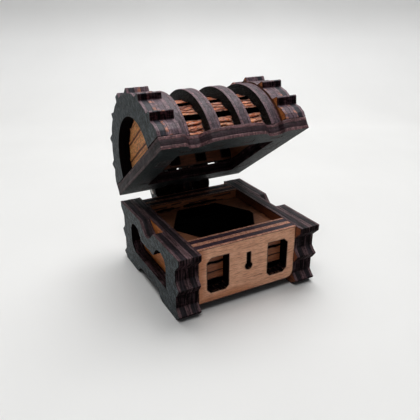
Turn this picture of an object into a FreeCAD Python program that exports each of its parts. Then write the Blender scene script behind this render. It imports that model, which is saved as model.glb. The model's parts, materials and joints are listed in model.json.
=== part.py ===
import FreeCAD, Part
import Sketcher
import math
import os

# Miniature treasure chest that holds one twenty-sided die.
# Laser-cut plywood sheets: an open box with a tray that has a hexagonal hole,
# and a barrel lid on a friction hinge.  Millimetres.
# Frame: +X to the chest's right, front at -Y, +Z up, origin on the floor at the
# centre of the box's footprint.  The lid is drawn closed and then turned open
# about the hinge pin to its rest angle.

doc = FreeCAD.newDocument("dice_chest")

# ---------------------------------------------------------------- dimensions
CELLS = [
    # alias, value, what it is
    ("sheet_thk", 3.0, "plywood sheet"),
    ("half_width", 20.35, "outer faces of the side sheets, from the middle"),
    ("cavity_y", 12.0, "inner faces of front and back walls, from the middle"),
    ("rim_z", 17.7, "top of the box"),
    ("panel_z", 2.5, "underside of front and back panels"),
    ("floor_z", 2.2, "underside of the bottom plate"),
    ("tray_z", 12.1, "underside of the tray plate"),
    ("hex_rad", 12.5, "die hole, centre to corner"),
    ("hex_cut", 12.0, "die hole, blunted corners, from the middle"),
    ("valley_y", 17.95, "scalloped ends of the side sheets, hollows"),
    ("tip_y", 20.1, "scalloped ends of the side sheets, tips"),
    ("arch_z", 2.35, "arch between the feet"),
    ("fit_gap", 0.04, "gap round a tab in its slot, each side"),
    ("win_in_x", 5.85, "front windows, inner side"),
    ("win_out_x", 11.8, "front windows, outer side"),
    ("win_lo_z", 5.15, "front windows, sill"),
    ("win_hi_z", 14.7, "front windows, head"),
    ("key_z", 9.85, "keyhole, centre of the round"),
    ("key_rad", 0.95, "keyhole, round"),
    ("pin_y", 22.65, "hinge pin, behind the middle"),
    ("pin_z", 17.8, "hinge pin, height"),
    ("pin_rad", 1.0, "hinge pin"),
    ("pin_len", 19.2, "hinge pin, length"),
    ("bore_fix", 1.02, "pin hole in the box's knuckles"),
    ("bore_run", 1.06, "pin hole in the lid's knuckles"),
    ("ring_rad", 2.3, "knuckle, round end"),
    ("knuckle_pitch", 3.1, "knuckle spacing along the pin"),
    ("lid_z", 17.8, "underside of the lid frame, closed"),
    ("lid_back_y", 20.2, "back edge of the lid frame"),
    ("lid_open", 34.1, "lid angle at rest, degrees open"),
    ("slat_in_r", 11.85, "lid slats, inner face, from the barrel's axis"),
    ("slat_wide", 4.52, "lid slats, width"),
    ("rib_out_r", 17.75, "lid ribs, outer radius"),
    ("rib_mid_x", 4.27, "two middle ribs, centre, from the middle"),
    ("valley_r", 18.2, "lid end sheets, hollows between the teeth"),
    ("crest_r", 19.7, "lid end sheets, tips of the teeth"),
    ("end_win_r", 12.2, "lid end sheets, arched window"),
    ("nib_wide", 2.0, "rib nibs that key the slats"),
]
sheet = doc.addObject("Spreadsheet::Sheet", "Params")
VALUE = {}
for row, (alias, value, note) in enumerate(CELLS, start=1):
    sheet.set("A%d" % row, alias)
    sheet.set("B%d" % row, str(value))
    sheet.set("C%d" % row, note)
    sheet.setAlias("B%d" % row, alias)
    VALUE[alias] = float(value)
doc.recompute()


class Size:
    """A length that is a sum of sheet cells: keeps its number and its formula."""

    def __init__(self, terms=None, const=0.0):
        self.terms = dict(terms or {})
        self.const = float(const)

    @property
    def v(self):
        return self.const + sum(k * VALUE[a] for a, k in self.terms.items())

    @property
    def text(self):
        out = "%.6f" % self.const
        for a, k in self.terms.items():
            out += " + (%.6f) * Params.%s" % (k, a)
        return out

    def __add__(self, other):
        other = size(other)
        t = dict(self.terms)
        for a, k in other.terms.items():
            t[a] = t.get(a, 0.0) + k
        return Size(t, self.const + other.const)

    __radd__ = __add__

    def __mul__(self, k):
        return Size({a: c * k for a, c in self.terms.items()}, self.const * k)

    __rmul__ = __mul__

    def __neg__(self):
        return self * -1.0

    def __sub__(self, other):
        return self + (-size(other))

    def __rsub__(self, other):
        return size(other) + (-self)


def size(x):
    return x if isinstance(x, Size) else Size({}, x)


def cell(alias):
    return Size({alias: 1.0})


def like(alias, x):
    """A drawn coordinate that scales with a cell."""
    return Size({alias: x / VALUE[alias]})


T = cell("sheet_thk")
W = cell("half_width")
GAP = cell("fit_gap")
X_IN = W - 2 * T          # inner faces of the inner side sheets
X_MID = W - T             # between the two side sheets
CY = cell("cavity_y")
RIM = cell("rim_z")
TRAY = cell("tray_z")


# ---------------------------------------------------------------- sketch tools
def plane_of(body, role):
    for o in body.Origin.OriginFeatures:
        if o.Role == role:
            return o
    raise RuntimeError("no plane " + role)


def draw(body, name, role, offset, loops):
    """A sketch of closed loops on one of the body's own origin planes.

    A loop is a list of (x, y) corners, or ("circle", x, y, radius).  Every
    corner is held by its own two dimensions, and those tied to the sheet of
    sizes carry its formula.
    """
    sk = body.newObject("Sketcher::SketchObject", name)
    sk.AttachmentSupport = [(plane_of(body, role), "")]
    sk.MapMode = "FlatFace"
    off = size(offset)
    sk.AttachmentOffset = FreeCAD.Placement(FreeCAD.Vector(0, 0, off.v), FreeCAD.Rotation())
    if off.terms:
        sk.setExpression("AttachmentOffset.Base.z", off.text)
    todo = []

    def hold(geo, pos, a, b):
        for s, kind, axis in ((a, "DistanceX", -2), (b, "DistanceY", -1)):
            if not s.terms and abs(s.v) < 1e-9:
                sk.addConstraint(Sketcher.Constraint("PointOnObject", geo, pos, axis))
            else:
                todo.append((sk.addConstraint(Sketcher.Constraint(kind, -1, 1, geo, pos, s.v)), s))

    for loop in loops:
        if loop[0] == "circle":
            cx, cy, r = size(loop[1]), size(loop[2]), size(loop[3])
            g = sk.addGeometry(Part.Circle(FreeCAD.Vector(cx.v, cy.v, 0), FreeCAD.Vector(0, 0, 1), r.v), False)
            todo.append((sk.addConstraint(Sketcher.Constraint("Radius", g, r.v)), r))
            hold(g, 3, cx, cy)
            continue
        pts = [(size(a), size(b)) for a, b in loop]
        n = len(pts)
        lines = [Part.LineSegment(FreeCAD.Vector(pts[i][0].v, pts[i][1].v, 0),
                                  FreeCAD.Vector(pts[(i + 1) % n][0].v, pts[(i + 1) % n][1].v, 0)) for i in range(n)]
        ids = sk.addGeometry(lines, False)
        sk.addConstraint([Sketcher.Constraint("Coincident", ids[i], 2, ids[(i + 1) % n], 1) for i in range(n)])
        for i in range(n):
            hold(ids[i], 1, pts[i][0], pts[i][1])
    for c, s in todo:
        if s.terms:
            sk.setExpression("Constraints[%d]" % c, s.text)
    return sk


def pad(body, name, sk, length):
    p = body.newObject("PartDesign::Pad", name)
    p.Profile = sk
    n = size(length)
    p.Length = n.v
    if n.terms:
        p.setExpression("Length", n.text)
    body.Tip = p
    return p


def pocket(body, name, sk, length):
    """Cuts along the sketch's normal, the way its sheet was padded."""
    p = body.newObject("PartDesign::Pocket", name)
    p.Profile = sk
    n = size(length)
    p.Length = n.v
    if n.terms:
        p.setExpression("Length", n.text)
    p.Reversed = True
    body.Tip = p
    return p


NODES = []      # (label, object), in order
LID = set()     # labels that turn with the lid


def new_body(label, lid=False):
    b = doc.addObject("PartDesign::Body", label)
    b.Label = label
    NODES.append((label, b))
    if lid:
        LID.add(label)
    return b


def flat_sheet(label, role, start, outline, holes=(), lid=False):
    """A cut sheet.  XY_Plane grows towards +Z, YZ_Plane towards +X, XZ_Plane towards -Y."""
    b = new_body(label, lid)
    pad(b, label + "_sheet", draw(b, label + "_outline", role, start, [outline]), T)
    for i, group in enumerate(holes):
        pocket(b, "%s_cut_%d" % (label, i + 1), draw(b, "%s_holes_%d" % (label, i + 1), role, start, group), T)
    return b


def rect(x0, x1, y0, y1):
    return [(x0, y0), (x1, y0), (x1, y1), (x0, y1)]


def mirror(loop):
    """The loop mirrored left to right."""
    return [(-size(a), b) for a, b in reversed(loop)]


# ================================================================= THE BOX
FLOOR = cell("floor_z")
FL_A, FL_B = 8.8, 11.3          # the bottom plate's side tabs, along y
TR_A, TR_B = 1.8, 4.2           # the tray's side tabs, along y


def plate_edge(a, b, front, back):
    """A plate between the walls: two tabs each side, and one at the front and back where asked."""
    right = [(X_IN, -CY), (X_IN, -b), (X_MID, -b), (X_MID, -a), (X_IN, -a),
             (X_IN, a), (X_MID, a), (X_MID, b), (X_IN, b), (X_IN, CY)]
    out = list(right)
    if back:
        out += [(back, CY), (back, CY + T), (-back, CY + T), (-back, CY)]
    out += mirror(right)
    if front:
        out += [(-front, -CY), (-front, -(CY + T)), (front, -(CY + T)), (front, -CY)]
    return out


# ---- bottom plate
flat_sheet("bottom_plate", "XY_Plane", FLOOR, plate_edge(FL_A, FL_B, 3.0, 3.0))

# ---- tray plate: holds the die in a hexagonal hole with two blunted corners
HR, HC = cell("hex_rad"), cell("hex_cut")
S3 = math.sqrt(3.0)
blunt = (HR - HC) * S3
hexagon = [(HC, -blunt), (HC, blunt), (HR * 0.5, HR * (S3 / 2)), (HR * -0.5, HR * (S3 / 2)),
           (-HC, blunt), (-HC, -blunt), (HR * -0.5, HR * (-S3 / 2)), (HR * 0.5, HR * (-S3 / 2))]
flat_sheet("tray_plate", "XY_Plane", TRAY, plate_edge(TR_A, TR_B, 2.5, 0), [[hexagon]])


# ---- inner front and back walls: plank sheets with ragged slits between the planks
def slit(x0, x1, z0, z1, seed):
    """A ragged slit: both edges wander a little along its length, and its ends taper."""
    n = 7
    lo, hi = [], []
    for i in range(n + 1):
        x = x0 + (x1 - x0) * i / n
        if i in (0, n):
            m = (z0 + z1) / 2
            lo.append((x, m - 0.12))
            hi.append((x, m + 0.12))
        else:
            lo.append((x, z0 + 0.11 * math.sin(2.1 * i + seed)))
            hi.append((x, z1 + 0.11 * math.sin(1.7 * i + 2.0 * seed + 1.0)))
    return lo + hi[::-1]


WALL_TABS = ((5.9, 8.3), (9.8, 11.8))
PZ = cell("panel_z")


def wall_edge():
    r = [(X_IN, PZ)]
    for z0, z1 in WALL_TABS:
        r += [(X_IN, z0), (X_MID, z0), (X_MID, z1), (X_IN, z1)]
    r += [(X_IN, RIM)]
    n = 3.0 + GAP
    return r + mirror(r) + [(-n, PZ), (-n, FLOOR + T + GAP), (n, FLOOR + T + GAP), (n, PZ)]


tray_slot = rect(-(2.5 + GAP), 2.5 + GAP, TRAY - GAP, TRAY + T + GAP)
front_slits = [slit(4.9, 12.6, 11.35, 11.8, 0.4), slit(-12.6, -4.9, 11.35, 11.8, 1.3),
               slit(4.7, 12.7, 5.35, 6.8, 2.2), slit(-12.7, -4.7, 5.35, 6.8, 3.0)]
back_slits = [slit(-12.4, -7.0, 15.35, 15.8, 0.9), slit(-3.8, 6.9, 15.35, 15.8, 2.6),
              slit(1.5, 12.2, 10.3, 10.8, 1.9), slit(-12.3, -2.6, 9.5, 9.95, 0.2)]
flat_sheet("front_wall", "XZ_Plane", CY, wall_edge(), [[tray_slot] + front_slits])
flat_sheet("back_wall", "XZ_Plane", -(CY + T), wall_edge(), [back_slits])

# ---- front panel: bare plywood with two windows and a keyhole
WI, WO, WL, WH = cell("win_in_x"), cell("win_out_x"), cell("win_lo_z"), cell("win_hi_z")
window = [(WI, WL + 0.85), (WI + 0.85, WL), (WO - 1.0, WL), (WO, WL + 1.0), (WO, WH - 1.1), (WO - 1.1, WH), (WI, WH)]
KZ, KR = cell("key_z"), cell("key_rad")
panel = [(-X_IN, PZ), (X_IN - 2.0, PZ), (X_IN - 0.9, PZ + 0.3), (X_IN - 0.3, PZ + 0.95), (X_IN, PZ + 2.0), (X_IN, RIM),
         (-X_IN, RIM)]
flat_sheet("front_panel", "XZ_Plane", CY + T, panel,
           [[window, mirror(window)], [("circle", 0.0, KZ, KR)], [rect(-0.5, 0.5, KZ, KZ + 3.83)]])

# ---- back panel: plain, slotted for the three fixed knuckles
KP = cell("knuckle_pitch")
HT = T * 0.5
PY, PINZ = cell("pin_y"), cell("pin_z")
slots = [rect(k * KP - HT - GAP, k * KP + HT + GAP, PINZ - 8.0 - GAP, PINZ - 4.0 + GAP) for k in (-2.5, -0.5, 1.5)]
flat_sheet("back_panel", "XZ_Plane", -(CY + 2 * T), rect(-X_IN, X_IN, PZ, RIM), [slots])

# ---- side sheets: scalloped ends, an arch between the feet
VY, TY = cell("valley_y"), cell("tip_y")
AZ = cell("arch_z")


def rz(z):
    return like("rim_z", z)


def ty(y):
    return like("tip_y", y)


end = [(ty(17.9), 0.0), (ty(18.2), rz(0.55)), (ty(19.45), rz(1.2)), (ty(19.7), rz(1.65)), (ty(18.9), rz(2.4)),
       (VY, rz(3.4)), (VY, rz(6.8)), (ty(18.5), rz(7.2)), (ty(19.55), rz(8.65)),
       (ty(19.75), rz(9.1)), (ty(18.9), rz(9.75)), (VY, rz(10.9)), (VY, rz(13.9)),
       (ty(18.7), rz(14.7)), (ty(19.8), rz(15.75)), (TY, rz(16.1)), (TY, RIM)]
feet = [(-9.0, 0.0), (-7.9, 0.5), (-5.8, AZ), (5.8, AZ), (7.9, 0.5), (9.0, 0.0)]
side_slots = []
for s in (1, -1):
    for a, b, z0, z1 in [(FL_A, FL_B, FLOOR, FLOOR + T), (TR_A, TR_B, TRAY, TRAY + T)] + \
                        [(CY, CY + T, size(z0), size(z1)) for z0, z1 in WALL_TABS]:
        lo, hi = size(a) - GAP, size(b) + GAP
        side_slots.append(rect(lo if s > 0 else -hi, hi if s > 0 else -lo, z0 - GAP, z1 + GAP))
flat_sheet("left_inner_wall", "YZ_Plane", -X_MID, feet + end + mirror(end), [side_slots])
flat_sheet("right_inner_wall", "YZ_Plane", X_IN, feet + end + mirror(end), [side_slots])

notch = [(4.7, RIM), (3.0, rz(16.15)), (1.5, rz(15)), (0.6, rz(14.75)), (-0.6, rz(14.75)), (-1.5, rz(15)),
         (-3.0, rz(16.15)), (-4.7, RIM)]
side_window = [(-12.0, rz(5.8)), (9.5, rz(5.8)), (11.6, rz(7.3)), (12.0, rz(8.2)), (12.1, rz(12.2)), (11.2, rz(13.8)),
               (9.5, rz(14.5)), (7.8, rz(14.5)), (6.5, rz(14)), (5.0, rz(12.5)), (4.8, rz(11.8)), (3.9, rz(11.45)),
               (-3.9, rz(11.45)), (-4.8, rz(11.8)), (-5.0, rz(12.5)), (-6.5, rz(14)), (-7.8, rz(14.5)),
               (-9.5, rz(14.5)), (-11.2, rz(13.8)), (-12.1, rz(12.2))]
flat_sheet("left_side_frame", "YZ_Plane", -W, feet + end + notch + mirror(end), [[side_window]])
flat_sheet("right_side_frame", "YZ_Plane", X_MID, feet + end + notch + mirror(end), [[side_window]])

# ---- knuckles: upright sheets side by side on the pin
RR = cell("ring_rad")


def knuckle(label, k, corners, bore, lid):
    b = new_body(label, lid)
    at = k * KP - HT
    outline = [(PY + dy, PINZ + dz) for dy, dz in corners]
    pad(b, label + "_arm", draw(b, label + "_arm_outline", "YZ_Plane", at, [outline]), T)
    pad(b, label + "_round", draw(b, label + "_ring", "YZ_Plane", at, [("circle", PY, PINZ, RR)]), T)
    pocket(b, label + "_bore", draw(b, label + "_hole", "YZ_Plane", at, [("circle", PY, PINZ, cell(bore))]), T)
    return b


reach = -(PY - CY - 2 * T)      # back panel's outer face, seen from the pin
fixed = [(reach - T, -8.0), (reach, -8.0), (reach, -9.4), (-2.7, -9.4), (1.4, -1.82), (0.0, 0.0), (-1.8, -0.35),
         (reach, -0.35), (reach, -4.0), (reach - T, -4.0)]
for name, k in (("left", -2.5), ("middle", -0.5), ("right", 1.5)):
    knuckle("box_knuckle_" + name, k, fixed, "bore_fix", False)

# ---- hinge pin: a plain rod through all six knuckles
pin = doc.addObject("Part::Cylinder", "hinge_pin")
pin.Label = "hinge_pin"
pin.Placement = FreeCAD.Placement(FreeCAD.Vector(-VALUE["pin_len"] / 2, VALUE["pin_y"], VALUE["pin_z"]),
                                  FreeCAD.Rotation(FreeCAD.Vector(0, 1, 0), 90))
pin.setExpression("Radius", "Params.pin_rad")
pin.setExpression("Height", "Params.pin_len")
pin.setExpression("Placement.Base.x", "-Params.pin_len / 2")
pin.setExpression("Placement.Base.y", "Params.pin_y")
pin.setExpression("Placement.Base.z", "Params.pin_z")
NODES.append(("hinge_pin", pin))

# ================================================================= THE LID (drawn closed)
LZ = cell("lid_z")
TOP = LZ + T                       # top face of the lid frame: the barrel's axis lies in it
LB = cell("lid_back_y")


def lb(y):
    return like("lid_back_y", y)


RX = cell("rib_mid_x")
RIBS = [("rib_1", -(X_IN - HT)), ("rib_2", -RX), ("rib_3", RX), ("rib_4", X_IN - HT)]
FOOT_A, FOOT_B = 15.4, 16.9        # rib feet, along y
END_A, END_B = 5.5, 10.5           # end panels' tabs, along y

# ---- lid frame: a flat ring under the barrel, waved along the front, notched at the back for the knuckles
wave = [(-W, -LB), (-14.3, -LB), (-13.4, lb(-19.6)), (-12.7, lb(-18.3)), (-11.9, lb(-17.7)), (-10.6, lb(-17.6)),
        (-9.6, lb(-17.95)), (-8.7, lb(-19.0)), (-7.4, lb(-20.3)), (-5.2, lb(-20.9)), (-2.5, lb(-21.15))]
front_edge = wave + [(0.0, lb(-21.2))] + mirror(wave)
KN = 17.85                         # bottom of the knuckle notches
back_edge = [(W, LB)]
for k in (2.5, 0.5, -1.5):
    a, b = k * KP + HT + GAP, k * KP - HT - GAP
    back_edge += [(a, LB), (a, KN), (b, KN), (b, LB)]
back_edge += [(-W, LB)]
tab_holes = []
for s in (1, -1):
    for label, xc in RIBS:
        a, b = FOOT_A - GAP, FOOT_B + GAP
        tab_holes.append(rect(xc - HT - GAP, xc + HT + GAP, a if s > 0 else -b, b if s > 0 else -a))
    for x0, x1 in ((X_IN, X_MID), (-X_MID, -X_IN)):
        a, b = END_A - GAP, END_B + GAP
        tab_holes.append(rect(x0 - GAP, x1 + GAP, a if s > 0 else -b, b if s > 0 else -a))
flat_sheet("lid_frame", "XY_Plane", LZ, front_edge + back_edge, [[rect(-13.7, 13.7, -12.9, 12.7)], tab_holes], lid=True)

# ---- lid end sheets: half discs with saw teeth; the outer one of each pair has an arched window
VR, CR = cell("valley_r"), cell("crest_r")
teeth = [("c", 20.2, 0.0), ("c", 20.2, 1.4), ("c", 19.4, 3.2), ("v", 18.2, 4.4), ("c", 19.2, 6.3), ("c", 19.0, 6.7),
         ("v", 17.0, 7.0), ("v", 15.85, 9.3), ("v", 14.35, 11.1), ("c", 15.05, 12.6), ("c", 14.8, 13.0),
         ("v", 12.4, 13.15), ("v", 11.1, 14.5), ("v", 9.6, 15.4), ("v", 8.15, 16.0), ("c", 8.2, 17.3), ("c", 7.85, 17.55),
         ("v", 5.9, 17.0), ("v", 3.6, 17.75), ("v", 1.35, 17.95), ("c", 1.15, 19.35)]
half = []
for kind, y, z in teeth:
    ref = {"c": "crest_r", "v": "valley_r"}[kind]
    half.append((like(ref, y), TOP + like(ref, z) if z else TOP))
teeth_edge = half + mirror(half)
end_tabs = [(-END_B, TOP), (-END_B, LZ), (-END_A, LZ), (-END_A, TOP), (END_A, TOP), (END_A, LZ), (END_B, LZ), (END_B, TOP)]

SR, SW = cell("slat_in_r"), cell("slat_wide")
ANGLES = [11.25 + 22.5 * i for i in range(8)]      # from the back, over the top, to the front
STUB = 3.6                                          # width of a slat's end tab
NW = cell("nib_wide")


def turned(corners, ang):
    """Corners given along a radius and across it, turned about the barrel's axis."""
    ca, sa = math.cos(math.radians(ang)), math.sin(math.radians(ang))
    return [(size(r) * ca - size(w) * sa, TOP + size(r) * sa + size(w) * ca) for r, w in corners]


def at_slats(r0, r1, w):
    h = size(w) * 0.5
    return [turned([(r0, -h), (r1, -h), (r1, h), (r0, h)], a) for a in ANGLES]


stub_slots = at_slats(SR - GAP, SR + T + GAP, STUB + 2 * GAP)
arch = [("circle", 0.0, TOP, cell("end_win_r"))]
flat_sheet("left_end_frame", "YZ_Plane", -W, teeth_edge, [arch], lid=True)
flat_sheet("left_end_panel", "YZ_Plane", -X_MID, teeth_edge + end_tabs, [stub_slots], lid=True)
flat_sheet("right_end_panel", "YZ_Plane", X_IN, teeth_edge + end_tabs, [stub_slots], lid=True)
flat_sheet("right_end_frame", "YZ_Plane", X_MID, teeth_edge, [arch], lid=True)

# ---- ribs: half rings over the slats, a nib through each slat, a foot at each end through the frame
BIG = 30.0
flat_out = 1.0 / math.cos(math.radians(11.25))
ring = [turned([((SR + T) * flat_out, 0.0)], 22.5 * i)[0] for i in range(16)]
for label, xc in RIBS:
    b = new_body(label, True)
    x0 = xc - HT
    pad(b, label + "_disc", draw(b, label + "_rim", "YZ_Plane", x0, [("circle", 0.0, TOP, cell("rib_out_r"))]), T)
    pocket(b, label + "_hollow", draw(b, label + "_inside", "YZ_Plane", x0, [ring]), T)
    pocket(b, label + "_lower", draw(b, label + "_below", "YZ_Plane", x0, [rect(-BIG, BIG, TOP - BIG, TOP)]), T)

# the foot and nib outlines come in a second pass, on the finished half rings
for label, xc in RIBS:
    b = dict(NODES)[label]
    extra = at_slats(SR - 0.5, SR + T + 0.6, NW)
    for y0, y1 in ((FOOT_A, FOOT_B), (-FOOT_B, -FOOT_A)):
        extra.append(rect(y0, y1, LZ, TOP + 0.4))
    pad(b, label + "_nibs", draw(b, label + "_nib_outline", "YZ_Plane", xc - HT, extra), T)

# ---- slats: eight flat staves tabbed into the end panels, slotted for the ribs' nibs
for i, ang in enumerate(ANGLES):
    label = "slat_%d" % (i + 1)
    b = new_body(label, True)
    h, t = SW * 0.5, STUB / 2.0
    stave = [(X_IN, -h), (X_IN, -t), (X_MID, -t), (X_MID, t), (X_IN, t), (X_IN, h)]
    k = NW * 0.5 + 0.1
    keys = [rect(xc - HT - GAP, xc + HT + GAP, -k, k) for _, xc in RIBS]
    pad(b, label + "_stave", draw(b, label + "_outline", "XY_Plane", 0.0, [stave + mirror(stave)]), T)
    pocket(b, label + "_keys", draw(b, label + "_key_slots", "XY_Plane", 0.0, keys), T)

# ---- moving knuckles: lapped into the frame's back notches; each heel meets the back panel when the lid is full open
moving = [(-4.75, 0.0), (0.0, 0.0), (-1.25, -2.41), (0.665, -4.55), (3.49, -3.795), (2.25, -0.6), (0.0, 2.3),
          (-2.3, 5.2), (-4.75, 5.2)]
for name, k in (("left", -1.5), ("middle", 0.5), ("right", 2.5)):
    knuckle("lid_knuckle_" + name, k, moving, "bore_run", True)
doc.recompute()

# ---------------------------------------------------------------- placing
# a stave is drawn flat, then stood at its radius and turned round the barrel's axis
swing = FreeCAD.Placement(FreeCAD.Vector(0, 0, 0),
                          FreeCAD.Rotation(FreeCAD.Vector(-1, 0, 0), VALUE["lid_open"]),
                          FreeCAD.Vector(0, VALUE["pin_y"], VALUE["pin_z"]))
top_z = VALUE["lid_z"] + VALUE["sheet_thk"]
for i, ang in enumerate(ANGLES):
    b = dict(NODES)["slat_%d" % (i + 1)]
    turn = FreeCAD.Rotation(FreeCAD.Vector(1, 0, 0), ang - 90.0)
    out = turn.multVec(FreeCAD.Vector(0, 0, VALUE["slat_in_r"]))
    b.Placement = FreeCAD.Placement(FreeCAD.Vector(0, 0, top_z) + out, turn)
for label, b in NODES:
    if label in LID:
        b.Placement = swing.multiply(b.Placement)
doc.recompute()

# ---------------------------------------------------------------- check and write
for o in doc.Objects:
    for word in ("Invalid", "Error"):
        if word in o.State:
            raise RuntimeError("%s is %s" % (o.Label, o.State))
os.makedirs("parts", exist_ok=True)
for label, b in NODES:
    shape = b.Shape
    if shape.isNull() or not shape.isValid() or len(shape.Solids) != 1:
        raise RuntimeError("%s has no single valid solid (%d)" % (label, 0 if shape.isNull() else len(shape.Solids)))
    shape.exportStep("parts/%s.step" % label)
    bb = shape.BoundBox
    print("%-26s vol %8.2f  x %7.2f %7.2f  y %7.2f %7.2f  z %7.2f %7.2f" % (
        label, shape.Volume, bb.XMin, bb.XMax, bb.YMin, bb.YMax, bb.ZMin, bb.ZMax))
print(len(NODES), "nodes")
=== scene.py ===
import bpy
import json
import math
import random
import numpy as np
from mathutils import Matrix, Vector
from mathutils.geometry import delaunay_2d_cdt

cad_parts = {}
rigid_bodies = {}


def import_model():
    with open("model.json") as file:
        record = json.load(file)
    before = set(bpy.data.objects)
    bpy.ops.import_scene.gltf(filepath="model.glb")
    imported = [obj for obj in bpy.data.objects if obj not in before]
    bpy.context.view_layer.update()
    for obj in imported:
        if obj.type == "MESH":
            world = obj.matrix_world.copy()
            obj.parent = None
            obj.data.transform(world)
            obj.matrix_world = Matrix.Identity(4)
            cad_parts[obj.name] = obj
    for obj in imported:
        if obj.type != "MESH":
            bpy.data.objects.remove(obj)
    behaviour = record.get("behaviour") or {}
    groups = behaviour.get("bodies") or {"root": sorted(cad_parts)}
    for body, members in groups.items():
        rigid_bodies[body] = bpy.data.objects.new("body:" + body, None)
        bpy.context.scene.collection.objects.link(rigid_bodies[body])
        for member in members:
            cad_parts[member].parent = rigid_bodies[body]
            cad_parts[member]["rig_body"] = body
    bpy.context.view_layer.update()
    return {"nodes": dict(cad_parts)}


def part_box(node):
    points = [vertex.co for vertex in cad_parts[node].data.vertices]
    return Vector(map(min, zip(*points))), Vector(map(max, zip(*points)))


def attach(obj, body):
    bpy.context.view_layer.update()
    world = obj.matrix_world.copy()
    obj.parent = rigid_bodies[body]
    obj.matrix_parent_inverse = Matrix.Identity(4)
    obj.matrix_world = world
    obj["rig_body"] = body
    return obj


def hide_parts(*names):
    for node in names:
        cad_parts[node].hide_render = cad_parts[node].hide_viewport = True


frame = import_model()
MM = 0.001
T = 3.0                     # sheet thickness, mm
scene = bpy.context.scene

# ------------------------------------------------------------------ frames of the sheets
HINGE = Vector((0.0, 22.65, 17.8))
OPEN = 34.1
SWING = Matrix.Translation(HINGE) @ Matrix.Rotation(math.radians(OPEN), 4, Vector((-1, 0, 0))) @ Matrix.Translation(-HINGE)
LIDTOP = 20.8
KP = 3.1


def yz(x0):
    """local (u, v, w) = (y, z, x - x0)"""
    return Matrix(((0, 0, 1, x0), (1, 0, 0, 0), (0, 1, 0, 0), (0, 0, 0, 1)))


def xy(z0):
    return Matrix(((1, 0, 0, 0), (0, 1, 0, 0), (0, 0, 1, z0), (0, 0, 0, 1)))


def xz(yback):
    """local (u, v, w) = (x, z, yback - y)"""
    return Matrix(((1, 0, 0, 0), (0, 0, -1, yback), (0, 1, 0, 0), (0, 0, 0, 1)))


def slat_frame(k):
    ang = 11.25 + 22.5 * k
    turn = Matrix.Rotation(math.radians(ang - 90.0), 4, "X")
    return Matrix.Translation(Vector((0, 0, LIDTOP))) @ turn @ Matrix.Translation(Vector((0, 0, 11.85)))


W, XM, XI, CY = 20.35, 17.35, 14.35, 12.0
LOCAL = {
    "bottom_plate": xy(2.2), "tray_plate": xy(12.1),
    "front_wall": xz(-CY), "back_wall": xz(CY + T), "front_panel": xz(-CY - T), "back_panel": xz(CY + 2 * T),
    "left_inner_wall": yz(-XM), "right_inner_wall": yz(XI), "left_side_frame": yz(-W), "right_side_frame": yz(XM),
    "box_knuckle_left": yz(-2.5 * KP - T / 2), "box_knuckle_middle": yz(-0.5 * KP - T / 2),
    "box_knuckle_right": yz(1.5 * KP - T / 2),
    "lid_frame": xy(17.8),
    "left_end_frame": yz(-W), "left_end_panel": yz(-XM), "right_end_panel": yz(XI), "right_end_frame": yz(XM),
    "rib_1": yz(-XI), "rib_2": yz(-4.27 - T / 2), "rib_3": yz(4.27 - T / 2), "rib_4": yz(XI - T),
    "lid_knuckle_left": yz(-1.5 * KP - T / 2), "lid_knuckle_middle": yz(0.5 * KP - T / 2), "lid_knuckle_right": yz(2.5 * KP - T / 2),
}
for _k in range(8):
    LOCAL["slat_%d" % (_k + 1)] = slat_frame(_k)


# ------------------------------------------------------------------ small deterministic noise
def wave(x, seed, parts=((0.31, 1.0), (0.83, 0.6), (1.9, 0.35))):
    """Smooth wandering value, about -1 to 1."""
    r = 0.0
    for i, (f, a) in enumerate(parts):
        r = r + a * np.sin(f * x * 2 * math.pi + seed * (1.7 + 2.3 * i) + 1.3 * i)
    return r / sum(a for _, a in parts)


# ------------------------------------------------------------------ outline of a CAD sheet
def outline_loops(node, to_local):
    me = frame["nodes"][node].data
    co = np.array([v.co for v in me.vertices], float) / MM
    m = np.array(to_local)
    loc = co @ m[:3, :3].T + m[:3, 3]
    me.calc_loop_triangles()
    tri = np.array([t.vertices for t in me.loop_triangles])
    top = tri[(loc[tri][:, :, 2] > T - 0.02).all(1)]
    key = {}
    ids = np.empty(len(loc), int)
    pts = []
    for i, p in enumerate(loc):
        k = (round(p[0] * 500), round(p[1] * 500))
        if k not in key:
            key[k] = len(pts)
            pts.append((p[0], p[1]))
        ids[i] = key[k]
    edges = set()
    for a, b, c in top:
        for p, q in ((a, b), (b, c), (c, a)):
            p, q = ids[p], ids[q]
            if p != q:
                edges.add((p, q))
    nxt = {}
    for p, q in edges:
        if (q, p) not in edges:
            nxt.setdefault(p, []).append(q)
    loops = []
    while nxt:
        start = next(iter(sorted(nxt)))
        loop, cur = [start], nxt[start].pop()
        if not nxt[start]:
            del nxt[start]
        while cur != start:
            loop.append(cur)
            n = nxt[cur].pop()
            if not nxt[cur]:
                del nxt[cur]
            cur = n
        P = np.array([pts[i] for i in loop])
        # straight runs that the tessellation split are joined again
        keep = []
        for i in range(len(P)):
            a, b, c = P[i - 1], P[i], P[(i + 1) % len(P)]
            cr = (b[0] - a[0]) * (c[1] - b[1]) - (b[1] - a[1]) * (c[0] - b[0])
            if abs(cr) > 1e-5:
                keep.append(i)
        loops.append(P[keep])
    return loops


def area(P):
    x, y = P[:, 0], P[:, 1]
    return 0.5 * np.sum(x * np.roll(y, -1) - y * np.roll(x, -1))


def resample(P, step):
    out, corner = [], []
    for i in range(len(P)):
        a, b = P[i], P[(i + 1) % len(P)]
        n = max(1, int(math.ceil(np.hypot(*(b - a)) / step)))
        for k in range(n):
            out.append(a + (b - a) * k / n)
            corner.append(k == 0)
    return np.array(out), np.array(corner)


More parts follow.
